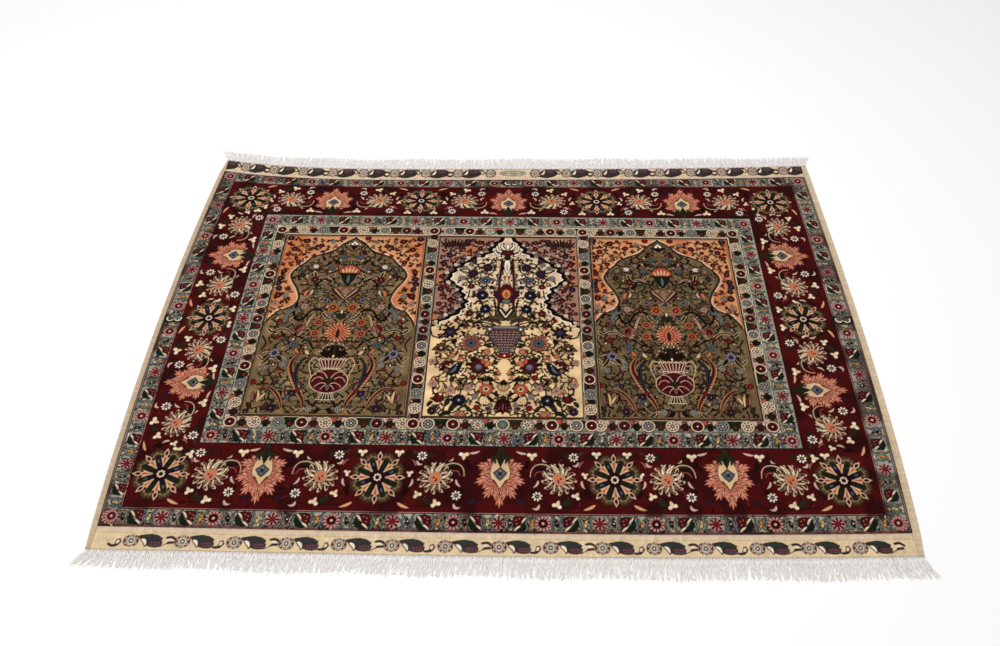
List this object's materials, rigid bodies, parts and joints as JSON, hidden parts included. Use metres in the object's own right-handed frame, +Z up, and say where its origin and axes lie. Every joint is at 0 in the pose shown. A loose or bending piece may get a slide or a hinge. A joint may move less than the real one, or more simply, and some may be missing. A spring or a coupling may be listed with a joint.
{
  "type": "hereke rug",
  "caption": "Flat hand-knotted prayer rug with a triple-niche field, wide flowered borders, thin flat-woven end bands and a cut fringe along both long ends.",
  "frame": {"origin": "on the floor, under the centre of the whole rug's bounding box to within 10 mm: it is the middle of the knotted pile", "axes": "+X along the rug's length from left to right, +Y across its width from the near fringe to the far fringe, +Z up"},
  "size_m": [1.5571, 1.1829, 0.006],
  "materials": {
    "pile": "short cut wool and silk pile, crimson main border with blue-green guards",
    "flatweave": "flat-woven gold and ivory silk",
    "fringe": "loose ivory silk yarn"
  },
  "bodies": {
    "root": {"rug": "pile", "fringe_near": "fringe", "fringe_far": "fringe"}
  },
  "joints": []
}
